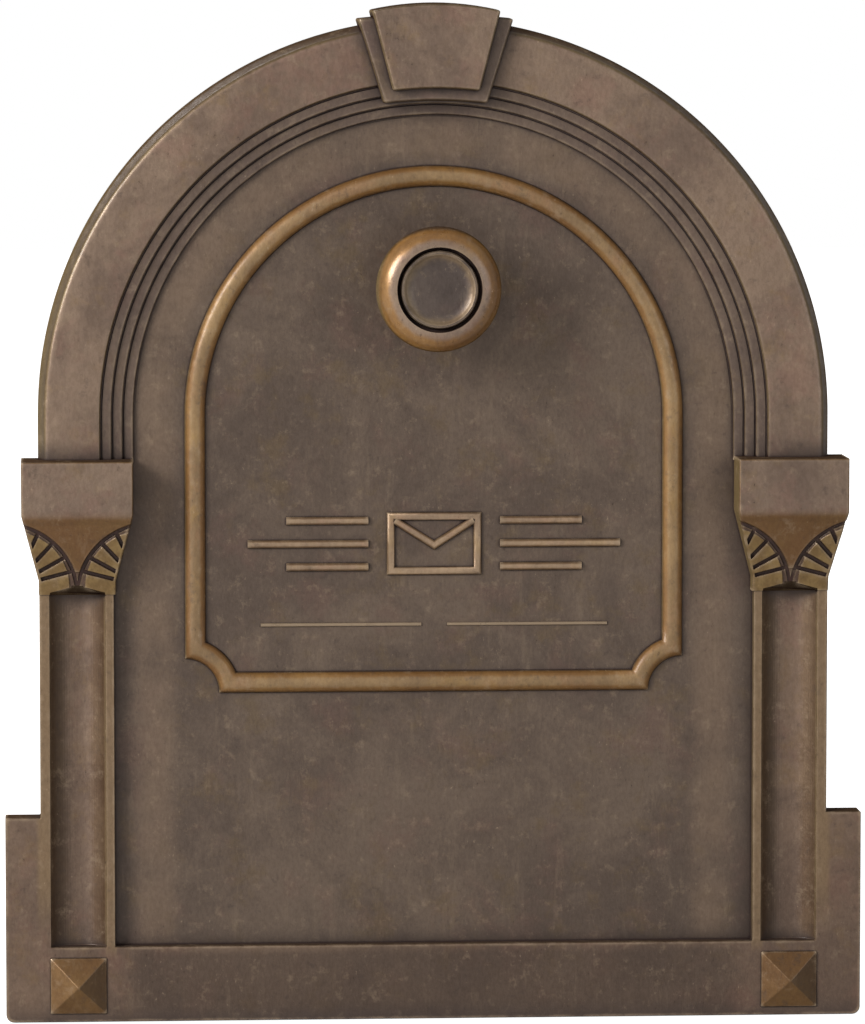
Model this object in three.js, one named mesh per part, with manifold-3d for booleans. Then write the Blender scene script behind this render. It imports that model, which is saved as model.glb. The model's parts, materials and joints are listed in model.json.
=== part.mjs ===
// Mailbox set into a masonry wall: a bottom-hinged cast door over a screwed wall frame and a sheet tunnel.
// Millimetres. +X right, -Y towards the person at the door, +Z up. The wall's face is the plane y = 0.
// Shapes are drawn with heights above the door's foot; one group lowers them all to the mount's origin.
import * as THREE from 'three';
import Module from 'manifold-3d';
import { mergeVertices } from 'three/addons/utils/BufferGeometryUtils.js';

const wasm = await Module();
wasm.setup();

// Driving dimensions
const GAP = 0.3;                 // clearance between neighbouring pieces
const ORIGIN_HEIGHT = 16;        // the mount's origin above the door's foot
const ARCH_Z = 188.4;            // springing height of every arch
const ARC_STEPS = 24;

const DOOR_BACK = -16;
const FIELD_FRONT = -21;
const BASE_FRONT = -26;
const BAND_FRONT = -27;
const BAND_R = { outer: 122.8, inner: 103.5 };
const STEPS = [
  { inner: 100.1, front: -25.6 },
  { inner: 96.7, front: -24.2 },
  { inner: 93.3, front: -22.8 },
];
const BASE = { halfWidth: 133.5, bandHeight: 23.5, blockHeight: 64 };
const COLUMN = { x: 110.8, outer: 122.6, inner: 99.5, top: 136, flute: 8.55, fluteDepth: 3, fluteTop: 134 };
const CAPITAL = { halfWidth: 17, footHalfWidth: 12, foot: 134.6, block: 157, top: 174, front: -36 };
const PYRAMID = { x: 111, z: 11.4, side: 17.5, height: 5.2, sunk: 0.6 };
const KEYSTONE = {
  back: { top: 312.3, bottom: 285, topHalf: 24.3, bottomHalf: 16.2, front: -31 },
  face: { top: 316.2, bottom: 288.8, topHalf: 20.1, bottomHalf: 13.65, front: -35 },
};
const BEAD = { halfWidth: 74.3, bottom: 105.5, width: 6.5, front: -23.5 };
const NOTCH = { x: 77.6, z: 102.3, r: 13.9 };
const SKIRT = { inner: 119.8, foot: 20, back: -5 };

const KNOB = { z: 228.6, rim: 19.25, roll: 7, rollTurn: 155, front: -50, bore: 2.3, borePlane: -38 };
const KNOB_SCREW = { hole: 2.8, seat: -14.4, end: -37.5, head: 4.6, shank: 2 };
const KNOB_WASHER = { inner: 2.5, outer: 6, front: -15.7, back: -14.7 };
const HINGE = { x: 70, y: -10, z: 6, knuckle: 4.2, bore: 2.6, pin: 2.5 };
const HINGE_PLATE = { half: 17, foot: 11, top: 23, thick: 2, bridge: 2.7 };
const BRACKET_KNUCKLE = 6;       // half the length of the bracket's middle knuckle
const LEAF_KNUCKLE = [6.4, 14.4];
const STOP_TAB = { halfThick: 1.5, drop: 5.6 };
const HINGE_SCREW = { x: 11, z: 17, hole: 1.9, leafSeat: -13.4, bracketSeat: -6.6 };
const DOOR_SCREW_END = -22;      // tip of each screw in the door's back
const DOOR_HOLE_END = -22.5;
const FRAME_SCREW_END = -0.5;    // tip of each screw in the wall frame

const FLANGE = { r: 118.5, foot: 1, front: -4 };
const TUNNEL = { r: 104, sheet: 1.6, floor: 30, front: -13, back: 460 };
const COLLAR = { wall: 2.3, back: 24 };
const REAR_PLATE = 448;
const TRIM = { outer: 105.7, inner: 100.4, foot: 28.2, innerFoot: 33.5, back: -8, nose: 2.2, lap: 1 };
const WALL_SCREW = { face: -3.9, head: 4.5, shank: 2.2, end: 48 };
const WALL_SCREW_PLACE = { lowX: 111.5, lowZ: 60, archR: 111.5, archAngle: 25 };
const CATCH = { z: 299.6, halfWidth: 16, height: 10, back: -4.3, front: -11.5, poleFront: -14.1 };
const CATCH_CORE = { halfPocket: 9, halfMagnet: 8.5, halfPole: 8.6, wall: 1.2, back: -5.9 };
const CATCH_SCREW = { x: 12.5, hole: 1.6, sinkRadius: 2.7, sink: 2.5, seat: -9.3, head: 2.3, shank: 1.3 };
const STRIKE = { halfWidth: 16, halfHeight: 4.5, thick: 1.2 };
const STRIKE_SCREW = { x: 13, hole: 1.7, pilot: 1.6, seat: -14.2, head: 2.4, shank: 1.3 };
const RIVET = { hole: 1.9, shank: 1.6, collarY: 13, capY: 454.5, floorZ: 38 };

const FINISH = {
  bronze: { color: 0x6f5e50, roughness: 0.5, metalness: 0.8 },
  ochre: { color: 0x80602f, roughness: 0.4, metalness: 0.8 },
  coated: { color: 0x2b2724, roughness: 0.6, metalness: 0.3 },
  stainless: { color: 0xb4b2ad, roughness: 0.3, metalness: 1.0 },
  zinc: { color: 0xa7a99f, roughness: 0.4, metalness: 1.0 },
  magnet: { color: 0x3c3a3a, roughness: 0.7, metalness: 0.2 },
  rubber: { color: 0x1b1b1b, roughness: 0.9, metalness: 0.0 },
  nylon: { color: 0xc9c6bd, roughness: 0.6, metalness: 0.0 },
};

const assembly = new THREE.Group();
assembly.position.z = -ORIGIN_HEIGHT;

function addPart(name, geometry, finish) {
  const mesh = new THREE.Mesh(geometry, new THREE.MeshStandardMaterial(FINISH[finish]));
  mesh.name = name;
  assembly.add(mesh);
}

// Solids: joining and cutting
function solid(geometry) {
  const plain = geometry.clone();
  plain.deleteAttribute('normal');
  plain.deleteAttribute('uv');
  const merged = mergeVertices(plain, 1e-4);
  const vertProperties = Float32Array.from(merged.attributes.position.array);
  const triVerts = Uint32Array.from(merged.index.array);
  return new wasm.Manifold(new wasm.Mesh({ numProp: 3, vertProperties, triVerts }));
}

function geometryOf(manifold) {
  const mesh = manifold.getMesh();
  const geometry = new THREE.BufferGeometry();
  geometry.setAttribute('position', new THREE.BufferAttribute(Float32Array.from(mesh.vertProperties), 3));
  geometry.setIndex(new THREE.BufferAttribute(Uint32Array.from(mesh.triVerts), 1));
  geometry.computeVertexNormals();
  return geometry;
}

function shaped(added, removed = []) {
  let body = solid(added[0]);
  for (const piece of added.slice(1)) body = body.add(solid(piece));
  for (const piece of removed) body = body.subtract(solid(piece));
  return geometryOf(body);
}

// Shapes drawn as seen from the front (x across, z up) and given depth from y = back to y = front
function plate(shape, back, front, steps = ARC_STEPS) {
  const depth = back - front;
  const geometry = new THREE.ExtrudeGeometry(shape, { depth, bevelEnabled: false, curveSegments: steps });
  return geometry.rotateX(Math.PI / 2).translate(0, back, 0);
}

function block(x, y, z) {
  const geometry = new THREE.BoxGeometry(x[1] - x[0], y[1] - y[0], z[1] - z[0]);
  return geometry.translate((x[0] + x[1]) / 2, (y[0] + y[1]) / 2, (z[0] + z[1]) / 2);
}

function archShape(r, foot) {
  const shape = new THREE.Shape();
  shape.moveTo(-r, foot);
  shape.lineTo(r, foot);
  shape.lineTo(r, ARCH_Z);
  shape.absarc(0, ARCH_Z, r, 0, Math.PI, false);
  shape.closePath();
  return shape;
}

// An arch with an arched opening: a closed frame, or an upside-down U where both feet are level
function archFrame(outer, inner, foot, innerFoot) {
  if (innerFoot > foot) {
    const shape = archShape(outer, foot);
    shape.holes.push(archShape(inner, innerFoot));
    return shape;
  }
  const shape = new THREE.Shape();
  shape.moveTo(inner, foot);
  shape.lineTo(outer, foot);
  shape.lineTo(outer, ARCH_Z);
  shape.absarc(0, ARCH_Z, outer, 0, Math.PI, false);
  shape.lineTo(-outer, foot);
  shape.lineTo(-inner, foot);
  shape.lineTo(-inner, ARCH_Z);
  shape.absarc(0, ARCH_Z, inner, Math.PI, 0, true);
  shape.closePath();
  return shape;
}

function trapezoid(part) {
  const shape = new THREE.Shape();
  shape.moveTo(-part.bottomHalf, part.bottom);
  shape.lineTo(part.bottomHalf, part.bottom);
  shape.lineTo(part.topHalf, part.top);
  shape.lineTo(-part.topHalf, part.top);
  shape.closePath();
  return shape;
}

// Turned pieces: profile points are [radius, y], from the front end to the back end
function turned(points, x, z, steps = 10) {
  const profile = points.map(([radius, y]) => new THREE.Vector2(radius, y));
  return new THREE.LatheGeometry(profile, steps).translate(x, 0, z);
}

function drill(radius, front, back, x, z, steps = 10) {
  return turned([[0, front], [radius, front], [radius, back], [0, back]], x, z, steps);
}

function crossRecess(x, y, z, reach) {
  const half = 0.5;
  const bars = [block([x - reach, x + reach], y, [z - half, z + half])];
  bars.push(block([x - half, x + half], y, [z - reach, z + reach]));
  return bars;
}

// Pan-head screw whose head's underside is at y = seat; it points along +Y or -Y
function panScrew(x, z, seat, end, head = 3, shank = 1.6) {
  const toBack = end > seat;
  const face = toBack ? seat - 1.8 : seat + 1.8;
  const points = [[0, face], [head - 0.8, face], [head, (seat + face) / 2], [head, seat]];
  points.push([shank, seat], [shank, end], [0, end]);
  const ordered = toBack ? points : points.reverse();
  const sunk = toBack ? [face - 1, face + 0.8] : [face - 0.8, face + 1];
  return shaped([turned(ordered, x, z)], crossRecess(x, sunk, z, 1.5));
}

// Door
function panelShape(offset) {
  const half = BEAD.halfWidth + offset;
  const foot = BEAD.bottom - offset;
  const notch = NOTCH.r - offset;
  const side = Math.acos((half - NOTCH.x) / notch);
  const floor = Math.PI + Math.asin((NOTCH.z - foot) / notch);
  const shape = new THREE.Shape();
  shape.moveTo(0, foot);
  shape.absarc(NOTCH.x, NOTCH.z, notch, floor, side, true);
  shape.lineTo(half, ARCH_Z);
  shape.absarc(0, ARCH_Z, half, 0, Math.PI, false);
  shape.absarc(-NOTCH.x, NOTCH.z, notch, Math.PI - side, Math.PI - floor, true);
  shape.closePath();
  return shape;
}

function doorBead() {
  const ring = panelShape(BEAD.width / 2);
  ring.holes.push(panelShape(-BEAD.width / 2));
  return plate(ring, FIELD_FRONT + 1, BEAD.front, 10);
}

function capital(side) {
  const x = side * COLUMN.x;
  const half = CAPITAL.halfWidth;
  const upper = block([x - half, x + half], [CAPITAL.front, DOOR_BACK], [CAPITAL.block - 0.5, CAPITAL.top]);
  const lower = block([x - half, x + half], [CAPITAL.front, DOOR_BACK], [CAPITAL.foot, CAPITAL.block]);
  const corners = lower.attributes.position;
  for (let i = 0; i < corners.count; i += 1) {
    if (corners.getZ(i) > CAPITAL.foot + 1) continue;
    corners.setX(i, x + Math.sign(corners.getX(i) - x) * CAPITAL.footHalfWidth);
    if (corners.getY(i) < DOOR_BACK - 1) corners.setY(i, BASE_FRONT - 1.5);
  }
  return [upper, lower];
}

function fluteCutter(side) {
  const radius = (COLUMN.flute ** 2 + COLUMN.fluteDepth ** 2) / (2 * COLUMN.fluteDepth);
  const height = COLUMN.fluteTop - BASE.bandHeight;
  const cutter = new THREE.CylinderGeometry(radius, radius, height, 32).rotateX(Math.PI / 2);
  const y = BASE_FRONT - radius + COLUMN.fluteDepth;
  return cutter.translate(side * COLUMN.x, y, BASE.bandHeight + height / 2);
}

function pyramid(side) {
  const slope = PYRAMID.side / Math.SQRT2 / PYRAMID.height;
  const height = PYRAMID.height + PYRAMID.sunk;
  const cone = new THREE.ConeGeometry(slope * height, height, 4).rotateY(Math.PI / 4).rotateX(Math.PI);
  return cone.translate(side * PYRAMID.x, BASE_FRONT + PYRAMID.sunk - height / 2, PYRAMID.z);
}

function archLayers() {
  const foot = CAPITAL.block;
  const layers = [plate(archShape(BAND_R.outer - 1, 0), DOOR_BACK, FIELD_FRONT)];
  layers.push(plate(archFrame(BAND_R.outer, BAND_R.inner, foot, foot), DOOR_BACK, BAND_FRONT));
  for (const step of STEPS) {
    layers.push(plate(archFrame(BAND_R.inner + 1, step.inner, foot, foot), DOOR_BACK, step.front));
  }
  layers.push(plate(archFrame(BAND_R.outer, SKIRT.inner, SKIRT.foot, SKIRT.foot), SKIRT.back, DOOR_BACK - 1));
  return layers;
}

function doorScrewHoles() {
  const back = DOOR_BACK + 1;
  const holes = [drill(KNOB_SCREW.hole, FIELD_FRONT - 1, back, 0, KNOB.z)];
  for (const side of [-1, 1]) {
    for (const end of [-1, 1]) {
      const x = side * HINGE.x + end * HINGE_SCREW.x;
      holes.push(drill(HINGE_SCREW.hole, DOOR_HOLE_END, back, x, HINGE_SCREW.z));
    }
    holes.push(drill(STRIKE_SCREW.pilot, DOOR_HOLE_END, back, side * STRIKE_SCREW.x, CATCH.z));
  }
  return holes;
}

function doorCasting() {
  const depth = [BASE_FRONT, DOOR_BACK];
  const added = archLayers();
  added.push(block([-BASE.halfWidth, BASE.halfWidth], depth, [0, BASE.bandHeight]));
  for (const side of [-1, 1]) {
    const columnX = [side * COLUMN.inner, side * COLUMN.outer].sort((a, b) => a - b);
    const blockX = [side * (COLUMN.outer - 1), side * BASE.halfWidth].sort((a, b) => a - b);
    added.push(block(columnX, depth, [BASE.bandHeight - 1, COLUMN.top]));
    added.push(block(blockX, depth, [0, BASE.blockHeight]));
    added.push(...capital(side));
    added.push(pyramid(side));
  }
  added.push(plate(trapezoid(KEYSTONE.back), DOOR_BACK, KEYSTONE.back.front));
  added.push(plate(trapezoid(KEYSTONE.face), DOOR_BACK, KEYSTONE.face.front));
  added.push(doorBead());
  return shaped(added, [fluteCutter(-1), fluteCutter(1), ...doorScrewHoles()]);
}

function knob() {
  const foot = FIELD_FRONT - GAP;
  const turns = 5;
  const dish = [[0, -47.6], [9.6, -48.4], [11.5, -48.6], [11.6, -47.4], [13.1, -47.4], [13.2, -49.4]];
  const rim = [[14.4, KNOB.front]];
  for (let i = 1; i <= turns; i += 1) {
    const angle = THREE.MathUtils.degToRad((i / turns) * KNOB.rollTurn - 90);
    const across = KNOB.rim - KNOB.roll + KNOB.roll * Math.cos(angle);
    rim.push([across, KNOB.front + KNOB.roll + KNOB.roll * Math.sin(angle)]);
  }
  const neck = [[9.2, -32.5], [7.6, -29], [8, -24.5], [10, -23], [10, foot]];
  const bore = [[KNOB.bore, foot], [KNOB.bore, KNOB.borePlane], [0, KNOB.borePlane]];
  return turned([...dish, ...rim, ...neck, ...bore], 0, KNOB.z, 24);
}

function knobWasher() {
  const { inner, outer, front, back } = KNOB_WASHER;
  const points = [[inner, front], [outer, front], [outer, back], [inner, back], [inner, front]];
  return turned(points, 0, KNOB.z, 16);
}

function strikePlate() {
  const { halfWidth, halfHeight, thick } = STRIKE;
  const y = [DOOR_BACK + GAP, DOOR_BACK + GAP + thick];
  const body = block([-halfWidth, halfWidth], y, [CATCH.z - halfHeight, CATCH.z + halfHeight]);
  const hole = (side) => drill(STRIKE_SCREW.hole, y[0] - 1, y[1] + 1, side * STRIKE_SCREW.x, CATCH.z);
  return shaped([body], [hole(-1), hole(1)]);
}

// Hinges: a knuckle turned about the X axis
function alongX(radius, x, steps = 16) {
  const length = x[1] - x[0];
  const rod = new THREE.CylinderGeometry(radius, radius, length, steps).rotateZ(Math.PI / 2);
  return rod.translate((x[0] + x[1]) / 2, HINGE.y, HINGE.z);
}

function hingeBracket(side) {
  const x = side * HINGE.x;
  const back = FLANGE.front - GAP;
  const { half, foot, top, thick, bridge } = HINGE_PLATE;
  const knuckle = [x - BRACKET_KNUCKLE, x + BRACKET_KNUCKLE];
  const added = [block([x - half, x + half], [back - thick, back], [foot, top])];
  added.push(block(knuckle, [back - bridge, back], [HINGE.z - 2, foot + 0.5]));
  added.push(alongX(HINGE.knuckle, knuckle));
  const removed = [alongX(HINGE.bore, [knuckle[0] - 1, knuckle[1] + 1])];
  for (const end of [-1, 1]) {
    removed.push(drill(HINGE_SCREW.hole, back - 3, back + 1, x + end * HINGE_SCREW.x, HINGE_SCREW.z));
  }
  return shaped(added, removed);
}

function hingeLeaf(side) {
  const x = side * HINGE.x;
  const front = DOOR_BACK + GAP;
  const { half, foot, top, thick, bridge } = HINGE_PLATE;
  const added = [block([x - half, x + half], [front, front + thick], [foot, top])];
  const removed = [];
  for (const end of [-1, 1]) {
    const knuckle = [x + end * LEAF_KNUCKLE[0], x + end * LEAF_KNUCKLE[1]].sort((a, b) => a - b);
    const tabY = [HINGE.y - STOP_TAB.halfThick, HINGE.y + STOP_TAB.halfThick];
    added.push(block(knuckle, [front, front + bridge], [HINGE.z - 2, foot + 0.5]));
    added.push(alongX(HINGE.knuckle, knuckle));
    added.push(block(knuckle, tabY, [HINGE.z - STOP_TAB.drop, HINGE.z]));
    removed.push(alongX(HINGE.bore, [knuckle[0] - 1, knuckle[1] + 1]));
    removed.push(drill(HINGE_SCREW.hole, front - 1, front + 3, x + end * HINGE_SCREW.x, HINGE_SCREW.z));
  }
  return shaped(added, removed);
}

function turnedAlongX(points, x, steps = 12) {
  const profile = points.map(([radius, along]) => new THREE.Vector2(radius, along));
  return new THREE.LatheGeometry(profile, steps).rotateZ(-Math.PI / 2).translate(x, HINGE.y, HINGE.z);
}

function hingePin(side) {
  const r = HINGE.pin;
  const points = [[0, -16.4], [3.2, -16.4], [3.8, -15.8], [3.8, -14.9], [r, -14.9], [r, 14.9]];
  points.push([1.9, 14.9], [1.9, 16.3], [r, 16.3], [r, 17.2], [2, 17.8], [0, 17.8]);
  return turnedAlongX(points, side * HINGE.x);
}

function hingeClip(side) {
  const points = [[2.2, 15.2], [4.1, 15.2], [4.1, 16], [2.2, 16], [2.2, 15.2]];
  return turnedAlongX(points, side * HINGE.x);
}

// Wall frame
function wallScrewPlaces() {
  const { lowX, lowZ, archR, archAngle } = WALL_SCREW_PLACE;
  const angle = THREE.MathUtils.degToRad(archAngle);
  const high = [archR * Math.cos(angle), ARCH_Z + archR * Math.sin(angle)];
  const places = [];
  for (const [level, [x, z]] of [['low', [lowX, lowZ]], ['high', high]]) {
    places.push({ name: `${level}_left`, x: -x, z });
    places.push({ name: `${level}_right`, x, z });
  }
  return places;
}

function rivetRows() {
  const rows = [];
  for (const side of [-1, 1]) {
    const hand = side < 0 ? 'left' : 'right';
    for (const [i, y] of [70, 220, 370].entries()) {
      rows.push({ name: `floor_rivet_${hand}_${i + 1}`, y, angle: side < 0 ? 180 : 0, z: RIVET.floorZ });
    }
    const turn = (angle) => (side < 0 ? 180 - angle : angle);
    for (const angle of [15, 60]) {
      rows.push({ name: `collar_rivet_${hand}_${angle}`, y: RIVET.collarY, angle: turn(angle) });
    }
    for (const angle of [5, 50]) {
      rows.push({ name: `cap_rivet_${hand}_${angle}`, y: RIVET.capY, angle: turn(angle) });
    }
  }
  rows.push({ name: 'cap_rivet_top', y: RIVET.capY, angle: 90 });
  return rows;
}

// Turned along a line pointing out of the tunnel's wall; points are [radius, distance from the skin]
function outOfTunnel(points, rivet, lift = 0, steps = 8) {
  const profile = points.map(([radius, out]) => new THREE.Vector2(radius, out));
  const angle = THREE.MathUtils.degToRad(rivet.angle);
  const reach = TUNNEL.r + lift;
  const geometry = new THREE.LatheGeometry(profile, steps).rotateZ(angle - Math.PI / 2);
  geometry.translate(reach * Math.cos(angle), reach * Math.sin(angle), 0);
  geometry.rotateX(Math.PI / 2);
  return geometry.translate(0, rivet.y, rivet.z ?? ARCH_Z);
}

function rivetHole(rivet) {
  return outOfTunnel([[0, -6], [RIVET.hole, -6], [RIVET.hole, 6], [0, 6]], rivet);
}

function rivetBody(rivet) {
  const lift = rivet.name.startsWith('collar') ? COLLAR.wall + GAP : 0;
  const grip = rivet.name.startsWith('collar') ? lift + TUNNEL.sheet : 2 * TUNNEL.sheet + GAP;
  const inside = -grip - GAP;
  const tail = [[0, inside - 1.2], [2.5, inside - 1.1], [2.5, inside], [RIVET.shank, inside]];
  const head = [[RIVET.shank, GAP], [3.3, GAP], [3, 1], [1.8, 1.6], [0, 1.8]];
  return outOfTunnel([...tail, ...head], rivet, lift);
}

function wallFrame() {
  const hole = { r: TUNNEL.r + GAP, foot: TUNNEL.floor - GAP };
  const collarR = hole.r + COLLAR.wall;
  const collarFoot = hole.foot - COLLAR.wall;
  const added = [plate(archFrame(FLANGE.r, hole.r, FLANGE.foot, hole.foot), 0, FLANGE.front)];
  added.push(plate(archFrame(collarR, hole.r, collarFoot, hole.foot), COLLAR.back, -1));
  const removed = [];
  for (const { x, z } of wallScrewPlaces()) {
    removed.push(turned([[0, -5], [4.9, -5], [4.9, -3.9], [2.6, -1.5], [2.6, 1], [0, 1]], x, z, 12));
  }
  for (const side of [-1, 1]) {
    for (const end of [-1, 1]) {
      removed.push(drill(HINGE_SCREW.hole, -5, 1, side * HINGE.x + end * HINGE_SCREW.x, HINGE_SCREW.z));
    }
    removed.push(drill(CATCH_SCREW.hole, -5, 1, side * CATCH_SCREW.x, CATCH.z));
  }
  for (const rivet of rivetRows()) {
    if (rivet.name.startsWith('collar')) removed.push(rivetHole(rivet));
  }
  return shaped(added, removed);
}

function wallScrew(x, z) {
  const { face, head, shank, end } = WALL_SCREW;
  const points = [[0, face], [head, face], [head, face + 0.3], [shank, face + 2.7]];
  points.push([shank, end - 5], [0, end]);
  return shaped([turned(points, x, z)], crossRecess(x, [face - 1, face + 1.3], z, 2.2));
}

function wallPlug(x, z) {
  const points = [[2.6, 4], [4.4, 4], [4.4, 5], [3.9, 5.5], [3.7, 42], [2.6, 42], [2.6, 4]];
  return turned(points, x, z);
}

// Rubber edging pushed over the tunnel's front lip
function edgeTrim() {
  const lip = TUNNEL.front - GAP;
  const gripOuter = { r: TUNNEL.r + GAP, foot: TUNNEL.floor - GAP };
  const gripInner = { r: TUNNEL.r - TUNNEL.sheet - GAP, foot: TUNNEL.floor + TUNNEL.sheet + GAP };
  const { outer, inner, foot, innerFoot, back, nose, lap } = TRIM;
  const bend = plate(archFrame(outer, inner, foot, innerFoot), lip, lip - nose);
  const outerLeg = plate(archFrame(outer, gripOuter.r, foot, gripOuter.foot), back, lip - lap);
  const innerLeg = plate(archFrame(gripInner.r, inner, gripInner.foot, innerFoot), back, lip - lap);
  return shaped([bend, outerLeg, innerLeg]);
}

// Tunnel
function tunnelWrap() {
  const profile = archFrame(TUNNEL.r, TUNNEL.r - TUNNEL.sheet, TUNNEL.floor, TUNNEL.floor);
  return shaped([plate(profile, TUNNEL.back, TUNNEL.front)], rivetRows().map(rivetHole));
}

function floorPan() {
  const half = TUNNEL.r - TUNNEL.sheet - GAP;
  const top = TUNNEL.floor + TUNNEL.sheet;
  const y = [TUNNEL.front, TUNNEL.back];
  const added = [block([-half, half], y, [TUNNEL.floor, top])];
  for (const side of [-1, 1]) {
    const wall = [side * half, side * (half - TUNNEL.sheet)].sort((a, b) => a - b);
    added.push(block(wall, [2, REAR_PLATE - 3], [TUNNEL.floor, 46]));
  }
  const removed = rivetRows().filter((rivet) => rivet.name.startsWith('floor')).map(rivetHole);
  return shaped(added, removed);
}

function rearCap() {
  const r = TUNNEL.r - TUNNEL.sheet - GAP;
  const foot = TUNNEL.floor + TUNNEL.sheet + GAP;
  const panel = plate(archShape(r, foot), REAR_PLATE + TUNNEL.sheet, REAR_PLATE);
  const rim = plate(archFrame(r, r - TUNNEL.sheet, foot, foot + TUNNEL.sheet), TUNNEL.back, REAR_PLATE + 1);
  const removed = rivetRows().filter((rivet) => rivet.name.startsWith('cap')).map(rivetHole);
  return shaped([panel, rim], removed);
}

// Magnetic catch
function catchHousing() {
  const { halfWidth, height, front, back } = CATCH;
  const { halfPocket, wall } = CATCH_CORE;
  const z = [CATCH.z - height / 2, CATCH.z + height / 2];
  const body = block([-halfWidth, halfWidth], [front, back], z);
  const pocket = block([-halfPocket, halfPocket], [front - 1, back - wall], [z[0] + wall, z[1] - wall]);
  const holes = [];
  for (const side of [-1, 1]) {
    const x = side * CATCH_SCREW.x;
    holes.push(drill(CATCH_SCREW.hole, front - 1, back + 1, x, CATCH.z));
    holes.push(drill(CATCH_SCREW.sinkRadius, front - 1, front + CATCH_SCREW.sink, x, CATCH.z));
  }
  return shaped([body], [pocket, ...holes]);
}

function catchMagnet() {
  const half = CATCH_CORE.halfMagnet;
  return block([-half, half], [CATCH.front + 0.4, CATCH_CORE.back], [CATCH.z - 1.8, CATCH.z + 1.8]);
}

function polePlate(side) {
  const z = [CATCH.z + side * 2.1, CATCH.z + side * 3.3].sort((a, b) => a - b);
  return block([-CATCH_CORE.halfPole, CATCH_CORE.halfPole], [CATCH.poleFront, CATCH_CORE.back], z);
}

function strikeScrew(side) {
  const { x, seat, head, shank } = STRIKE_SCREW;
  return panScrew(side * x, CATCH.z, seat, DOOR_SCREW_END, head, shank);
}

function catchScrew(side) {
  const { x, seat, head, shank } = CATCH_SCREW;
  return panScrew(side * x, CATCH.z, seat, FRAME_SCREW_END, head, shank);
}

function knobScrew() {
  const { seat, end, head, shank } = KNOB_SCREW;
  return panScrew(0, KNOB.z, seat, end, head, shank);
}

addPart('door_casting', doorCasting(), 'bronze');
addPart('knob', knob(), 'ochre');
addPart('knob_washer', knobWasher(), 'zinc');
addPart('knob_screw', knobScrew(), 'zinc');
addPart('strike_plate', strikePlate(), 'zinc');
addPart('front_frame', wallFrame(), 'coated');
addPart('edge_trim', edgeTrim(), 'rubber');
addPart('tunnel_wrap', tunnelWrap(), 'coated');
addPart('tunnel_floor', floorPan(), 'coated');
addPart('tunnel_rear_cap', rearCap(), 'coated');
addPart('catch_housing', catchHousing(), 'nylon');
addPart('catch_magnet', catchMagnet(), 'magnet');
addPart('catch_pole_plate_lower', polePlate(-1), 'zinc');
addPart('catch_pole_plate_upper', polePlate(1), 'zinc');

for (const side of [-1, 1]) {
  const hand = side < 0 ? 'left' : 'right';
  addPart(`strike_screw_${hand}`, strikeScrew(side), 'stainless');
  addPart(`catch_screw_${hand}`, catchScrew(side), 'stainless');
  addPart(`hinge_bracket_${hand}`, hingeBracket(side), 'stainless');
  addPart(`hinge_leaf_${hand}`, hingeLeaf(side), 'stainless');
  addPart(`hinge_pin_${hand}`, hingePin(side), 'stainless');
  addPart(`hinge_clip_${hand}`, hingeClip(side), 'zinc');
  for (const end of [-1, 1]) {
    const place = end * side > 0 ? 'outer' : 'inner';
    const x = side * HINGE.x + end * HINGE_SCREW.x;
    const leafScrew = panScrew(x, HINGE_SCREW.z, HINGE_SCREW.leafSeat, DOOR_SCREW_END);
    const bracketScrew = panScrew(x, HINGE_SCREW.z, HINGE_SCREW.bracketSeat, FRAME_SCREW_END);
    addPart(`leaf_screw_${hand}_${place}`, leafScrew, 'stainless');
    addPart(`bracket_screw_${hand}_${place}`, bracketScrew, 'stainless');
  }
}

for (const rivet of rivetRows()) {
  addPart(rivet.name, rivetBody(rivet), 'zinc');
}

for (const { name, x, z } of wallScrewPlaces()) {
  addPart(`wall_screw_${name}`, wallScrew(x, z), 'stainless');
  addPart(`wall_plug_${name}`, wallPlug(x, z), 'nylon');
}

const group = new THREE.Group();
group.add(assembly);
export default group;
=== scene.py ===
"""Looks of the wall mailbox: fine cast relief for the door, materials for every piece, light and camera."""
import json
import math

import bmesh
import bpy
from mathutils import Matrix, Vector, noise


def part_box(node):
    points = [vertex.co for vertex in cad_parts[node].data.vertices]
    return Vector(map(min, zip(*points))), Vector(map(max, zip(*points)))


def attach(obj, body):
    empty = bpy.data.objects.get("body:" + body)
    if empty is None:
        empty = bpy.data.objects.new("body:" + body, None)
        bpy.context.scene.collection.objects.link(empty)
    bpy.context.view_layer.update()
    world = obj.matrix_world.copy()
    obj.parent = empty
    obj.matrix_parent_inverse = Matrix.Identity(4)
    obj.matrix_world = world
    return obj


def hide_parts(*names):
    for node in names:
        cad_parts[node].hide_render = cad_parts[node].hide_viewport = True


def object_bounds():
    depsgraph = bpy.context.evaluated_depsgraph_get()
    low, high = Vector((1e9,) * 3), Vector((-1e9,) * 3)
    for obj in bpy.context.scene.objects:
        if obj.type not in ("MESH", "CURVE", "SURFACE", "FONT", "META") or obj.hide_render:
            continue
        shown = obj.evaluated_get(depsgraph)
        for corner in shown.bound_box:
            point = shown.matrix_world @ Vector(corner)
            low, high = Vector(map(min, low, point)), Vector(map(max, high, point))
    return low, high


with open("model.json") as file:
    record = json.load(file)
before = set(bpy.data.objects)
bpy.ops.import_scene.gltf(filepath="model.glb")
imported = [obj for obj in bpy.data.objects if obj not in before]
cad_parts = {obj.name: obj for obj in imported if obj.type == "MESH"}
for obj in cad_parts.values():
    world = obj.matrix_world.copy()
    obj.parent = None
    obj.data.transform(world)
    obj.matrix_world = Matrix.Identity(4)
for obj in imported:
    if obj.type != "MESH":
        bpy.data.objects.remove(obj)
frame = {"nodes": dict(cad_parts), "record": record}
CAD_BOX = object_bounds()

# Lengths are in millimetres, and heights are above the door's foot. The front faces -Y.
DOOR_LOW, DOOR_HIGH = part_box("door_casting")
FOOT = DOOR_LOW.z * 1000
HALF_WIDTH = DOOR_HIGH.x * 1000
TOP = (DOOR_HIGH.z - DOOR_LOW.z) * 1000

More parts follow.
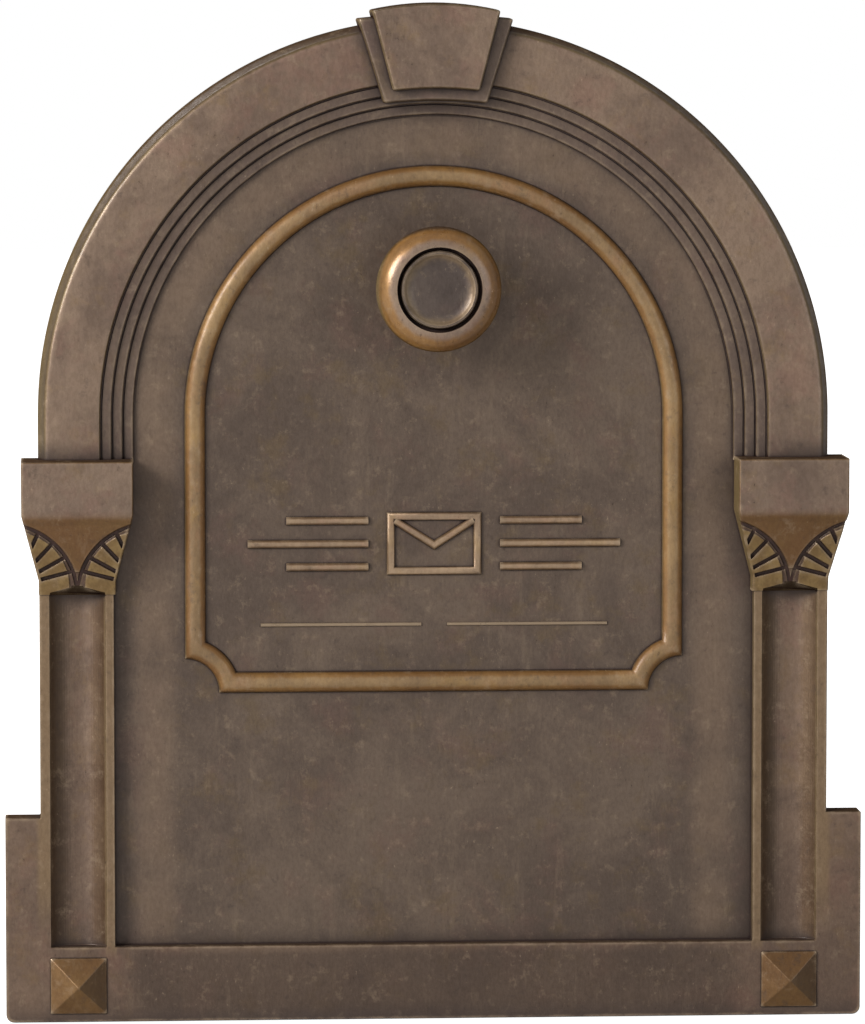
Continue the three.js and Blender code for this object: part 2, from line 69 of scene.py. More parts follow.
# Depths of the casting's faces, from back to front
SKIRT_BACK = -5.0
BACK = -16.0
TUCK = 0.6
FIELD = -21.0
BASE_FRONT = -26.0
BAND_FRONT = -27.0
KEYSTONE_FRONTS = (-31.0, -35.0)
CAPITAL_FRONT = -36.0

# The arch: its centre's height, the skirt behind it and the steps inside it
ARCH_Z = 188.4
SKIRT_INNER = 119.8
STEP_RADII = (103.5, 100.1, 96.7, 93.3)
STEP_FRONTS = (-25.5, -24.1, -22.7, FIELD)
FIELD_HALF = 101.0
PANEL_HALF = 74.3

# The foot and the columns
COLUMN_X = 110.8
COLUMN_OUTER, COLUMN_INNER, COLUMN_TOP = 122.6, 99.5, 136.0
BLOCK_TOP, BAND_TOP = 64.0, 23.5
FLUTE_HALF, FLUTE_DEPTH, FLUTE_WALL = 8.55, 4.9, 0.7

# The capitals, about their own centreline; the cuts follow circles centred beside the capital
CAPITAL_HALF, CAPITAL_NECK, CAPITAL_FOOT, CAPITAL_BEND, CAPITAL_TOP = 17.2, 11.93, 133.6, 159.0, 175.4
TAPER_FOOT = 138.0
SWEEP_DEPTH = 9.4
RING_CENTRE, RING_RADIUS, RING_CUT = (23.0, 133.4), 22.95, 0.55
FAN_CENTRE, FAN_REACH, FAN_CUT = (20.2, 136.2), 17.8, 0.56
FAN_TURNS = (64.3, 47.6, 29.7, 14.6)
V_TIP = 140.8
SOFT = 0.14

# The panel's ornament
BADGE_LOW, BADGE_HIGH, BADGE_HALF = 140.0, 157.0, 13.5
BAR_START, BAR_ENDS = 20.5, (46.0, 58.0, 46.0)
RULE_Z, RULE_START, RULE_END = 123.3, 4, 54


# Mesh helpers
def metres(point):
    """A point in millimetres above the door's foot, as metres in the row's frame."""
    x, y, z = point
    return (x / 1000, y / 1000, (z + FOOT) / 1000)


def hand(side):
    return "left" if side < 0 else "right"


def finish_mesh(name, bm, material, body, smooth_angle=35):
    """Makes a shaded piece that rides on a body and fills a material slot."""
    bmesh.ops.remove_doubles(bm, verts=bm.verts, dist=1e-6)
    bmesh.ops.recalc_face_normals(bm, faces=bm.faces)
    mesh = bpy.data.meshes.new(name)
    bm.to_mesh(mesh)
    bm.free()
    piece = bpy.data.objects.new(name, mesh)
    bpy.context.scene.collection.objects.link(piece)
    mesh.materials.append(material)
    mesh.shade_smooth()
    mesh.set_sharp_from_angle(angle=math.radians(smooth_angle))
    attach(piece, body)
    return piece


def cast(name, bm, material, smooth_angle=35):
    """A piece of the door's bronze casting."""
    return finish_mesh(name, bm, material, "door", smooth_angle)


def skin(rings, close_rings=True, close_loop=False, caps=True):
    """A mesh through rings of points.

    close_rings joins each ring's ends, and close_loop joins the last ring to the first.
    """
    bm = bmesh.new()
    rows = [[bm.verts.new(metres(p)) for p in ring] for ring in rings]
    count = len(rows[0])
    spans = len(rows) if close_loop else len(rows) - 1
    steps = count if close_rings else count - 1
    for i in range(spans):
        here, after = rows[i], rows[(i + 1) % len(rows)]
        for j in range(steps):
            k = (j + 1) % count
            bm.faces.new((here[j], here[k], after[k], after[j]))
    if caps and not close_loop and close_rings:
        bm.faces.new(rows[0][::-1])
        bm.faces.new(rows[-1])
    return bm


def slab(outline, back, front, taper=0.0):
    """A plate with the outline (x, z), drawn in by taper at the front."""
    centre_x = sum(p[0] for p in outline) / len(outline)
    centre_z = sum(p[1] for p in outline) / len(outline)
    rings = []
    for y, inset in ((back, 0.0), (front, taper)):
        ring = []
        for x, z in outline:
            inward = Vector((x - centre_x, z - centre_z)).normalized() * inset
            ring.append((x - inward.x, y, z - inward.y))
        rings.append(ring)
    return skin(rings)


def bevel(piece, width, segments=3, angle=30):
    """Rounds the piece's edges sharper than the angle."""
    modifier = piece.modifiers.new("soft_edges", "BEVEL")
    modifier.width = width / 1000
    modifier.segments = segments
    modifier.limit_method = "ANGLE"
    modifier.angle_limit = math.radians(angle)
    modifier.harden_normals = True
    return piece


def arc(cx, cz, radius, start, end, steps):
    """Points along an arc about (cx, cz); angles in degrees from the first axis."""
    points = []
    for i in range(steps + 1):
        a = math.radians(start + (end - start) * i / steps)
        points.append((cx + radius * math.cos(a), cz + radius * math.sin(a)))
    return points


def arch_outline(radius, foot):
    return [(-radius, foot), (radius, foot)] + arc(0, ARCH_Z, radius, 0, 180, 96)


def sweep_round_arch(profile, foot, leg_steps=5, arch_steps=160):
    """Rings of the (radius, y) profile up one leg, round the arch and down the other leg."""
    rings = []
    for i in range(leg_steps):
        z = foot + (ARCH_Z - foot) * i / leg_steps
        rings.append([(r, y, z) for r, y in profile])
    for i in range(arch_steps + 1):
        a = math.pi * i / arch_steps
        rings.append([(r * math.cos(a), y, ARCH_Z + r * math.sin(a)) for r, y in profile])
    for i in range(leg_steps):
        z = ARCH_Z + (foot - ARCH_Z) * (i + 1) / leg_steps
        rings.append([(-r, y, z) for r, y in profile])
    return rings


def smooth_step(low, high, value):
    t = min(1.0, max(0.0, (value - low) / (high - low)))
    return t * t * (3 - 2 * t)


# Materials
def srgb(r, g, b):
    """A display colour (0 to 255) as linear RGBA."""
    def linear(v):
        v /= 255
        return v / 12.92 if v <= 0.04045 else ((v + 0.055) / 1.055) ** 2.4
    return (linear(r), linear(g), linear(b), 1.0)


def shaded(colour, red, green, blue):
    """A display colour scaled channel by channel, as linear RGBA."""
    return srgb(colour[0] * red, colour[1] * green, colour[2] * blue)


def spread(*lengths):
    """Lengths in millimetres as metres, for the limits of a ramp."""
    return [length / 1000 for length in lengths]


class Graph:
    """Small helper that adds and joins shader nodes."""

    def __init__(self, name):
        self.material = bpy.data.materials.new(name)
        self.material.use_nodes = True
        self.tree = self.material.node_tree
        self.shader = self.tree.nodes["Principled BSDF"]
        self.coordinates = self.node("ShaderNodeTexCoord")
        self.place = self.coordinates.outputs["Object"]

    def node(self, kind, **settings):
        made = self.tree.nodes.new(kind)
        for key, value in settings.items():
            setattr(made, key, value)
        return made

    def join(self, source, target):
        if isinstance(source, (int, float, tuple)):
            target.default_value = source
        else:
            self.tree.links.new(source, target)

    def split(self, vector):
        """The outputs X, Y and Z of a vector."""
        made = self.node("ShaderNodeSeparateXYZ")
        self.join(vector, made.inputs["Vector"])
        return made.outputs

    def noise(self, scale, detail=4.0, roughness=0.55, stretch=(1, 1, 1), distortion=0.0):
        mapping = self.node("ShaderNodeMapping")
        mapping.inputs["Scale"].default_value = stretch
        self.join(self.place, mapping.inputs["Vector"])
        texture = self.node("ShaderNodeTexNoise")
        self.join(mapping.outputs["Vector"], texture.inputs["Vector"])
        texture.inputs["Scale"].default_value = scale
        texture.inputs["Detail"].default_value = detail
        texture.inputs["Roughness"].default_value = roughness
        texture.inputs["Distortion"].default_value = distortion
        return texture.outputs["Fac"]

    def ramp(self, value, low, high, out_low=0.0, out_high=1.0):
        """A smooth step from out_low to out_high while the value goes from low to high."""
        made = self.node("ShaderNodeMapRange")
        made.interpolation_type = "SMOOTHSTEP"
        self.join(value, made.inputs["Value"])
        made.inputs["From Min"].default_value = low
        made.inputs["From Max"].default_value = high
        made.inputs["To Min"].default_value = out_low
        made.inputs["To Max"].default_value = out_high
        return made.outputs["Result"]

    def mix(self, factor, first, second, kind="MIX"):
        made = self.node("ShaderNodeMix", data_type="RGBA", blend_type=kind)
        self.join(factor, made.inputs["Factor"])
        self.join(first, made.inputs["A"])
        self.join(second, made.inputs["B"])
        return made.outputs["Result"]

    def math(self, operation, first, second=0.0, clamp=False):
        made = self.node("ShaderNodeMath", operation=operation, use_clamp=clamp)
        self.join(first, made.inputs[0])
        self.join(second, made.inputs[1])
        return made.outputs[0]

    def hollow(self, distance, inside=False):
        """1 in a hollow, or on an outer edge where inside is set; 0 on open flats."""
        made = self.node("ShaderNodeAmbientOcclusion", samples=8, inside=inside, only_local=inside)
        made.inputs["Distance"].default_value = distance / 1000
        return self.math("SUBTRACT", 1.0, made.outputs["AO"])

    def bump(self, height, distance, strength=1.0, after=None):
        made = self.node("ShaderNodeBump")
        made.inputs["Strength"].default_value = strength
        made.inputs["Distance"].default_value = distance / 1000
        self.join(height, made.inputs["Height"])
        if after is not None:
            self.join(after, made.inputs["Normal"])
        return made.outputs["Normal"]

    def finish(self, colour, roughness, metallic, normal=None, specular=0.5):
        self.join(colour, self.shader.inputs["Base Color"])
        self.join(roughness, self.shader.inputs["Roughness"])
        self.join(metallic, self.shader.inputs["Metallic"])
        self.join(specular, self.shader.inputs["Specular IOR Level"])
        if normal is not None:
            self.join(normal, self.shader.inputs["Normal"])
        return self.material


# The bronze's colours, as display values. First line: dark lines, dark patina with painted shade, and pale
# rub-worn metal that is also a painted edge highlight. Second line: painted shade on sides seen edge-on,
# painted light on sides that face the key on the left, and painted shade on tops.
LINE, DARK_PATINA_AND_SHADE, WORN_AND_HIGHLIGHT = (46, 30, 26), (72, 60, 55), (168, 146, 120)
PAINTED_SIDE_SHADE, PAINTED_SIDE_LIGHT, PAINTED_TOP_SHADE = (84, 66, 44), (112, 95, 66), (74, 57, 44)


def cast_colour(g, face, slope, normal, facing, painted_away_shade, zones):
    """Ochre on slopes, with painted light and shade by the way a face looks: a greyer painted sheen on faces
    that look forward, and painted shade on tops and on sides turned away from the key.
    """
    clouds = g.ramp(g.noise(24, 6, 0.66, distortion=0.6), 0.38, 0.62)
    flat = g.mix(clouds, srgb(*face), shaded(face, 0.84, 0.83, 0.84))
    flat = g.mix(g.ramp(g.noise(48, 5, 0.7), 0.5, 0.66, 0, 0.4), flat, shaded(face, 1.0, 0.9, 0.92))
    flat = g.mix(g.ramp(g.noise(75, 6, 0.7), 0.52, 0.68, 0, 0.5), flat, shaded(face, 0.98, 0.95, 0.8))
    ochre = g.mix(clouds, srgb(*slope), shaded(slope, 0.86, 0.82, 0.8))
    # Faces that look forward take the greyer colour: a painted sheen over the ochre bronze.
    colour = g.mix(g.ramp(facing, 0.86, 0.985), ochre, flat)
    if zones:
        colour = zones(g, colour, ochre)
    # Painted shade on sides seen edge-on, painted light on sides that face the key on the left, and painted
    # shade on tops.
    colour = g.mix(g.ramp(facing, 0.2, 0.5, 0.85, 0), colour, srgb(*PAINTED_SIDE_SHADE))
    colour = g.mix(g.ramp(normal["X"], -0.98, -0.7, 0.9, 0), colour, srgb(*PAINTED_SIDE_LIGHT))
    colour = g.mix(g.ramp(normal["Z"], 0.7, 0.97, 0, 0.9), colour, srgb(*PAINTED_TOP_SHADE))
    # Painted shade on sides turned away from the key, to the right.
    return g.mix(g.ramp(normal["X"], 0.05, 0.5, 0, painted_away_shade), colour, shaded(slope, 0.5, 0.5, 0.5))


def speckle(g, colour):
    """Mottling, faint upright streaks, fine grain, pale specks and dark nicks."""
    mottle = g.noise(190, 6, 0.74)
    colour = g.mix(g.ramp(mottle, 0.53, 0.7, 0, 0.3), colour, srgb(*WORN_AND_HIGHLIGHT))
    colour = g.mix(g.ramp(mottle, 0.44, 0.3, 0, 0.4), colour, srgb(*DARK_PATINA_AND_SHADE))
    upright = g.ramp(g.noise(45, 5, 0.65, stretch=(6, 6, 1)), 0.56, 0.72, 0, 0.12)
    colour = g.mix(upright, colour, srgb(*WORN_AND_HIGHLIGHT))
    grain = g.noise(620, 4, 0.75, stretch=(1.6, 1, 0.8))
    colour = g.mix(g.ramp(grain, 0.56, 0.42, 0, 0.4), colour, (0.72, 0.69, 0.66, 1), "MULTIPLY")
    scatter = g.ramp(g.noise(55, 3, 0.6), 0.46, 0.6)
    speck = g.math("MULTIPLY", g.ramp(grain, 0.63, 0.7, 0, 0.5), scatter)
    colour = g.mix(speck, colour, shaded(WORN_AND_HIGHLIGHT, 1.1, 1.1, 1.1))
    nick = g.math("MULTIPLY", g.ramp(grain, 0.365, 0.3, 0, 0.7), scatter)
    return g.mix(nick, colour, srgb(*LINE))


def hollow_shade_and_wear(g, colour, reach, halo, edge):
    """A soft dark halo and a dark line in hollows, both dark patina and painted shade, and pale rub-worn
    edges that are also a painted edge highlight; returns all the amounts too.
    """
    patches = g.noise(160, 4, 0.6)
    # The halo near the relief is dark patina and also painted shade.
    away = g.math("MULTIPLY", g.hollow(reach), g.ramp(patches, 0.25, 0.75, 1.2, 0.85))
    away = g.ramp(away, 0.06, 0.5, 0, halo)
    colour = g.mix(away, colour, srgb(*DARK_PATINA_AND_SHADE))
    # The dark line in tight hollows is dark patina and also painted shade.
    corner = g.math("MULTIPLY", g.hollow(1.3), g.ramp(patches, 0.25, 0.75, 1.15, 0.9))
    corner = g.ramp(corner, 0.2, 0.46)
    colour = g.mix(corner, colour, srgb(*LINE))
    # Pale convex edges: rub-worn metal, and also a painted edge highlight.
    rubbed_and_highlit = g.math("MULTIPLY", g.hollow(1.7, inside=True), g.ramp(patches, 0.25, 0.7, 0.55, 1.4))
    open_edge = g.math("SUBTRACT", 1.0, corner)
    rubbed_and_highlit = g.math("MULTIPLY", g.ramp(rubbed_and_highlit, 0.16, 0.6, 0, edge), open_edge, clamp=True)
    return g.mix(rubbed_and_highlit, colour, srgb(*WORN_AND_HIGHLIGHT)), away, corner, rubbed_and_highlit


def patina(name, face, slope, edge=0.85, reach=9.0, metal=0.5, rough=0.42, halo=0.8, painted_away_shade=0.25,
           coat=0.25, zones=None):
    """Oil-rubbed bronze, ochre on its slopes and grey-brown on faces that look forward; the grey is a
    painted sheen.

    edge and halo are the amounts of pale edges (rub-worn metal with a painted edge highlight) and dark
    hollows (dark patina with painted shade), reach is the halo's width in millimetres, the amount for
    turned-away sides is painted shade on sides facing away from the key, and zones is a function that tints
    named parts of the casting.
    """
    g = Graph(name)
    normal = g.split(g.coordinates.outputs["Normal"])
    facing = g.math("ABSOLUTE", normal["Y"])
    facing = g.math("ADD", facing, g.ramp(g.noise(260, 4, 0.6), 0.3, 0.7, -0.02, 0.02))
    colour = speckle(g, cast_colour(g, face, slope, normal, facing, painted_away_shade, zones))
    colour, away, corner, rubbed_and_highlit = hollow_shade_and_wear(g, colour, reach, halo, edge)

    roughness = g.ramp(g.noise(320, 5, 0.7), 0.3, 0.7, rough - 0.08, rough + 0.1)
    roughness = g.math("ADD", roughness, g.math("MULTIPLY", rubbed_and_highlit, -0.1))
    roughness = g.math("ADD", roughness, g.math("MULTIPLY", away, 0.16))
    roughness = g.math("ADD", roughness, g.math("MULTIPLY", corner, 0.3), clamp=True)

    # Only faces that look forward are polished: sides and tops stay dull.
    polished = g.math("MULTIPLY", g.ramp(facing, 0.3, 0.75), g.ramp(normal["Z"], 0.9, 0.6))
    metallic = g.math("MULTIPLY", g.math("SUBTRACT", 1.0, corner), metal)
    metallic = g.math("MULTIPLY", metallic, polished)
    ripple = g.bump(g.math("MULTIPLY", g.noise(50, 4, 0.5), polished), 0.8, 0.45)
    relief = g.bump(g.math("MULTIPLY", g.noise(620, 6, 0.66), polished), 0.13, 0.6, after=ripple)
    g.join(g.math("MULTIPLY", polished, coat), g.shader.inputs["Coat Weight"])
    g.shader.inputs["Coat Roughness"].default_value = 0.2
    return g.finish(colour, roughness, metallic, relief, g.math("MULTIPLY", polished, 0.45))


def band_zones(g, colour, ochre):
    """Painted shade on the arch's inner steps, which lie in the band's shadow, and darker flats on the
    keystone's backing plate.
    """
    depth = g.split(g.place)["Y"]
    # Painted shade cast by the band over its inner steps.
    steps = g.ramp(depth, *spread(BAND_FRONT + 0.6, BAND_FRONT + 1.2))
    colour = g.mix(g.math("MULTIPLY", steps, 0.6), colour, srgb(92, 77, 69))
    plate = KEYSTONE_FRONTS[0]
    behind = g.math("MULTIPLY", g.ramp(depth, *spread(plate - 2.5, plate - 1.5)), 0.4)
    behind = g.math("MULTIPLY", behind, g.ramp(depth, *spread(plate + 1.5, plate + 0.5)))
    return g.mix(behind, colour, srgb(92, 80, 76))


def field_zones(g, colour, ochre):
    """A lighter ring on the field between the bead and the arch's steps."""
    place = g.split(g.place)
    above = g.math("MAXIMUM", g.math("SUBTRACT", place["Z"], (ARCH_Z + FOOT) / 1000), 0.0)
    across = g.math("POWER", g.math("ABSOLUTE", place["X"]), 2.0)
    radius = g.math("POWER", g.math("ADD", across, g.math("POWER", above, 2.0)), 0.5)
    inner = g.ramp(radius, *spread(PANEL_HALF + 3.2, PANEL_HALF + 10.7))
    outer = g.ramp(radius, *spread(STEP_RADII[-1] + 2.7, STEP_RADII[-1] - 4.3))
    ring = g.math("MULTIPLY", inner, outer)
    ring = g.math("MULTIPLY", ring, g.ramp(g.noise(40, 4, 0.6), 0.3, 0.6, 0.3, 0.8))
    return g.mix(ring, colour, srgb(128, 107, 89))


def bead_zones(g, colour, ochre):
    """A dark line where the bead meets the field: dark patina in the crevice and painted shade at the bead's
    foot.
    """
    depth = g.split(g.place)["Y"]
    return g.mix(g.ramp(depth, *spread(FIELD - 1.4, FIELD - 0.5), 0, 0.9), colour, srgb(52, 34, 26))


def capital_zones(g, colour, ochre):
    """Ochre V, khaki ribs, and dark cuts and recesses between the ribs (dark patina with painted shade),
    from the amounts stored with the capital's mesh.
    """
    stored = g.node("ShaderNodeAttribute", attribute_name="zones")
    parts = g.node("ShaderNodeSeparateColor")
    g.join(stored.outputs["Color"], parts.inputs["Color"])
    brown = g.mix(g.ramp(g.noise(60, 4, 0.6), 0.35, 0.65), ochre, srgb(120, 86, 52))
    colour = g.mix(parts.outputs["Red"], colour, brown)
    khaki = g.mix(g.ramp(g.noise(180, 4, 0.6), 0.35, 0.65), srgb(148, 121, 76), srgb(128, 101, 62))
    colour = g.mix(parts.outputs["Green"], colour, khaki)
    return g.mix(parts.outputs["Blue"], colour, srgb(64, 38, 33))


def column_zones(g, colour, ochre):
    """Lighter strips beside each flute and a darker foot band between the blocks."""
    place = g.split(g.place)
    across = g.math("ABSOLUTE", place["X"])
    band = BAND_TOP + FOOT
    inner = g.math("MULTIPLY", g.ramp(across, *spread(COLUMN_INNER - 0.5, COLUMN_INNER - 0.2)),
                   g.ramp(across, *spread(COLUMN_INNER + 3.5, COLUMN_INNER + 2.8)))
    inner = g.math("MULTIPLY", inner, g.ramp(place["Z"], *spread(band - 4.5, band + 1.5)))
    outer = g.math("MULTIPLY", g.ramp(across, *spread(COLUMN_OUTER - 3.6, COLUMN_OUTER - 3.1)),
                   g.ramp(across, *spread(COLUMN_OUTER + 1.9, COLUMN_OUTER - 0.1)))
    outer = g.math("MULTIPLY", outer, g.ramp(place["Z"], *spread(band, band + 22.5)))
    strips = g.math("ADD", inner, outer, clamp=True)
    colour = g.mix(g.math("MULTIPLY", strips, 0.7), colour, srgb(140, 115, 84))
    middle = g.math("MULTIPLY", g.ramp(across, *spread(COLUMN_INNER + 0.5, COLUMN_INNER - 11.5)),
                    g.ramp(place["Z"], *spread(band + 1.0, band - 3.5)))
    return g.mix(g.math("MULTIPLY", middle, 0.66), colour, srgb(80, 66, 57))


def coated(name, tone, fleck, rough=0.55, bump=0.5):
    """Textured powder coat: a fine orange peel with dust and faint scuffs."""
    g = Graph(name)
    colour = g.mix(g.ramp(g.noise(14, 4, 0.6), 0.3, 0.7), srgb(*tone), srgb(*[v * 1.3 for v in tone]))
    colour = g.mix(g.ramp(g.noise(2200, 2, 0.6), 0.62, 0.8, 0, 0.35), colour, srgb(*fleck))
    scuffs = g.ramp(g.noise(60, 5, 0.7, stretch=(1, 0.08, 1)), 0.62, 0.76, 0, 0.3)
    colour = g.mix(scuffs, colour, srgb(*fleck))
    dust = g.ramp(g.hollow(6.0), 0.2, 0.8, 0, 0.35)
    colour = g.mix(dust, colour, srgb(96, 88, 78))
    edges = g.ramp(g.hollow(0.8, inside=True), 0.3, 0.9, 0, 0.4)
    colour = g.mix(edges, colour, srgb(*fleck))
    roughness = g.ramp(g.noise(90, 4, 0.6), 0.3, 0.7, rough - 0.02, rough + 0.05)
    normal = g.bump(g.noise(1300, 2, 0.5), 0.08, bump)
    return g.finish(colour, roughness, 0.0, normal)


def steel(name, tone, stretch=(1, 1, 1), rough=0.3, stain=(120, 112, 100)):
    """Bare or plated steel with drawn grain and light staining."""
    g = Graph(name)
    grain = g.noise(500, 4, 0.7, stretch=stretch)
    colour = g.mix(g.ramp(grain, 0.35, 0.65), srgb(*tone), srgb(*[v * 0.86 for v in tone]))
    colour = g.mix(g.ramp(g.noise(160, 5, 0.65), 0.52, 0.75, 0, 0.4), colour, srgb(*stain))
    colour = g.mix(g.ramp(g.hollow(1.5), 0.25, 0.8, 0, 0.7), colour, srgb(60, 52, 44))
    roughness = g.ramp(grain, 0.3, 0.7, rough - 0.06, rough + 0.12)
    return g.finish(colour, roughness, 1.0, g.bump(grain, 0.03, 0.5))


def moulded(name, tone, rough=0.6, scale=1800, metal=0.0):
    """Rubber, nylon or ferrite: a fine moulded texture with dusty hollows."""
    g = Graph(name)
    colour = g.mix(g.ramp(g.noise(40, 4, 0.6), 0.3, 0.7), srgb(*tone), srgb(*[v * 1.35 + 4 for v in tone]))
    colour = g.mix(g.ramp(g.hollow(2.0), 0.2, 0.8, 0, 0.4), colour, srgb(88, 80, 70))
    roughness = g.ramp(g.noise(260, 4, 0.6), 0.3, 0.7, rough - 0.1, rough + 0.12)
    return g.finish(colour, roughness, metal, g.bump(g.noise(scale, 3, 0.6), 0.06, 0.6))


OCHRE = (132, 100, 60)
# The amount for turned-away sides is painted shade on the side away from the key: strongest on the studs and
# the base, none on the bead.
BAND_LOOK = patina("patina_band", (144, 121, 102), (118, 98, 68), coat=0.35, zones=band_zones)
FIELD_LOOK = patina("patina_field", (114, 97, 83), (96, 78, 60), reach=16.0, halo=0.6, zones=field_zones)
BEAD_LOOK = patina("patina_bead", (160, 130, 90), (146, 108, 58), reach=4.0, metal=0.3, rough=0.5,
                   painted_away_shade=0.0, zones=bead_zones)
BASE_LOOK = patina("patina_base", (130, 107, 89), (112, 88, 64), painted_away_shade=0.5, zones=column_zones)
CAPITAL_LOOK = patina("patina_capital", (140, 118, 100), OCHRE, reach=4.0, halo=0.5, zones=capital_zones)
STUD_LOOK = patina("patina_stud", (132, 101, 64), (128, 95, 55), reach=4.0, painted_away_shade=0.65)
KNOB_LOOK = patina("patina_knob", (150, 126, 106), (156, 114, 62), edge=0.3, rough=0.34, metal=0.4,
                   coat=0.6)
DISC_LOOK = patina("patina_disc", (98, 85, 77), (140, 120, 94), reach=3.0)
BADGE_LOOK = patina("patina_badge", (182, 154, 124), (140, 112, 80), reach=3.0, edge=0.7)
BACK_LOOK = patina("patina_back", (94, 79, 66), (88, 70, 50))


# Door relief
def arch_profile():
    """(radius, y) round the arch's section: skirt, rounded outer edge, flat band, three inner steps."""
    lip = SKIRT_BACK - 0.5
    profile = [(SKIRT_INNER, BACK - 1.5), (SKIRT_INNER, lip)] + arc(120.3, lip, 0.5, 180, 90, 3)[1:]
    profile += arc(122.3, lip, 0.5, 90, 0, 3)
    profile += [(122.8, -6.6), (122.78, -21.6), (122.75, -22.6), (122.6, -23.4), (121.25, -25.85)]
    profile += [(120.95, -26.3), (120.5, -26.7), (119.8, -26.95), (119.0, BAND_FRONT), (104.6, -26.85)]
    profile += arc(104.3, -26.1, 0.7, -90, -180, 3)
    for i, (riser, level) in enumerate(zip(STEP_RADII, STEP_FRONTS)):
        profile += [(riser, level - 0.2), (riser - 0.1, level + 0.25), (riser - 0.35, level + 0.3)]
        profile.append((riser - 0.6, level))
        if riser != STEP_RADII[-1]:
            profile += arc(STEP_RADII[i + 1] + 0.55, level + 0.55, 0.55, -90, -175, 3)
    profile.append((STEP_RADII[-1] - 0.8, BACK - 1.5))
    return profile


def arch_moulding():
    """The arch band with its three inner steps and the skirt behind it."""
    rings = sweep_round_arch(arch_profile(), CAPITAL_TOP - 1.2)
    return cast("door_arch", skin(rings), BAND_LOOK, 28)


def uneven(x, z, size=0.16):
    """Slow rise and fall of a sand-cast face, in millimetres."""
    slow = noise.noise(Vector((x / 38, 3.1, z / 38)))
    quick = noise.noise(Vector((x / 11, 7.7, z / 11)))
    return size * (slow + 0.35 * quick)


def door_field():
    """The flat field behind the relief, with the slight unevenness of a casting."""
    rows, columns = 150, 110
    foot, crown = 20.0, ARCH_Z + FIELD_HALF - 1.5
    front, back = [], []
    for i in range(rows + 1):
        z = foot + (crown - foot) * i / rows
        reach = FIELD_HALF if z < ARCH_Z else math.sqrt(FIELD_HALF ** 2 - (z - ARCH_Z) ** 2)
        line = [reach * (2 * j / columns - 1) for j in range(columns + 1)]
        front.append([(x, FIELD + uneven(x, z), z) for x in line])
        back.append([(line[0], BACK - 1.0, z), (line[-1], BACK - 1.0, z)])
    bm = skin(front, close_rings=False)
    back_face = skin(back, close_rings=False)
    scratch = bpy.data.meshes.new("scratch")
    back_face.to_mesh(scratch)
    back_face.free()
    bm.from_mesh(scratch)
    bpy.data.meshes.remove(scratch)
    bmesh.ops.remove_doubles(bm, verts=bm.verts, dist=1e-7)
    bmesh.ops.bridge_loops(bm, edges=[e for e in bm.edges if e.is_boundary])
    return cast("door_field", bm, FIELD_LOOK)


def panel_curve(offset, arch_steps=120, side_steps=12, notch_steps=14, foot_steps=16):
    """The bead's path moved outwards by offset: an arch with notched lower corners, as (x, z)."""
    half, foot, notch = PANEL_HALF + offset, 105.5 - offset, 13.9 - offset
    cx, cz = PANEL_HALF + 3.3, 102.3
    side = math.degrees(math.acos((half - cx) / notch))
    floor = 180 + math.degrees(math.asin((cz - foot) / notch))
    right = arc(cx, cz, notch, floor, side, notch_steps)
    shoulder_z, shoulder_x = right[-1][1], right[0][0]
    points = [(shoulder_x * (2 * i / foot_steps - 1), foot) for i in range(foot_steps)]
    points += right
    for i in range(1, side_steps):
        points.append((half, shoulder_z + (ARCH_Z - shoulder_z) * i / side_steps))
    points += arc(0, ARCH_Z, half, 0, 180, arch_steps)
    for i in range(1, side_steps):
        points.append((-half, ARCH_Z + (shoulder_z - ARCH_Z) * i / side_steps))
    return points + [(-x, z) for x, z in reversed(right)][:-1]


def door_bead():
    """The raised half-round bead that frames the panel."""
    half_width, rise, root = 3.3, 2.6, 2.6
    rings = []
    for i in range(13):
        a = math.pi * i / 12
        y = FIELD - rise * math.sin(a)
        rings.append([(x, y, z) for x, z in panel_curve(half_width * math.cos(a))])
    for offset in (-root, root):
        rings.append([(x, FIELD + 1.5, z) for x, z in panel_curve(offset)])
    return cast("door_bead", skin(rings, close_loop=True), BEAD_LOOK, 50)


def base_outline():
    """The foot band, a taller block at each end and the two columns, as one outline."""
    corner = 2.4
    right = arc(HALF_WIDTH - corner, corner, corner, 270, 360, 5)
    right += [(HALF_WIDTH, BLOCK_TOP), (COLUMN_OUTER, BLOCK_TOP), (COLUMN_OUTER, COLUMN_TOP)]
    right += [(COLUMN_INNER, COLUMN_TOP), (COLUMN_INNER, BAND_TOP)]
    return right + [(-x, z) for x, z in reversed(right)]


def flute_cutter(side):
    """A tall concave channel with short straight walls, open towards the front."""
    rise = FLUTE_DEPTH - FLUTE_WALL
    radius = (FLUTE_HALF ** 2 + rise ** 2) / (2 * rise)
    half_angle = math.asin(FLUTE_HALF / radius)
    centre = BASE_FRONT + FLUTE_DEPTH - radius
    clear = BASE_FRONT - 3
    section = [(-FLUTE_HALF, clear)]
    for i in range(25):
        a = half_angle * (i / 12 - 1)
        section.append((radius * math.sin(a), centre + radius * math.cos(a)))
    section.append((FLUTE_HALF, clear))
    above_column = COLUMN_TOP + 14
    bm = skin([[(side * COLUMN_X + x, y, z) for x, y in section] for z in (BAND_TOP, above_column)])
    bmesh.ops.recalc_face_normals(bm, faces=bm.faces)
    mesh = bpy.data.meshes.new("flute_cutter")
    bm.to_mesh(mesh)
    bm.free()
    cutter = bpy.data.objects.new("flute_cutter", mesh)
    bpy.context.scene.collection.objects.link(cutter)
    return cutter


def apply_modifiers(piece):
    """Replaces the piece's mesh by the one its modifiers make."""
    graph = bpy.context.evaluated_depsgraph_get()
    made = bpy.data.meshes.new_from_object(piece.evaluated_get(graph))
    piece.modifiers.clear()
    old = piece.data
    piece.data = made
    bpy.data.meshes.remove(old)


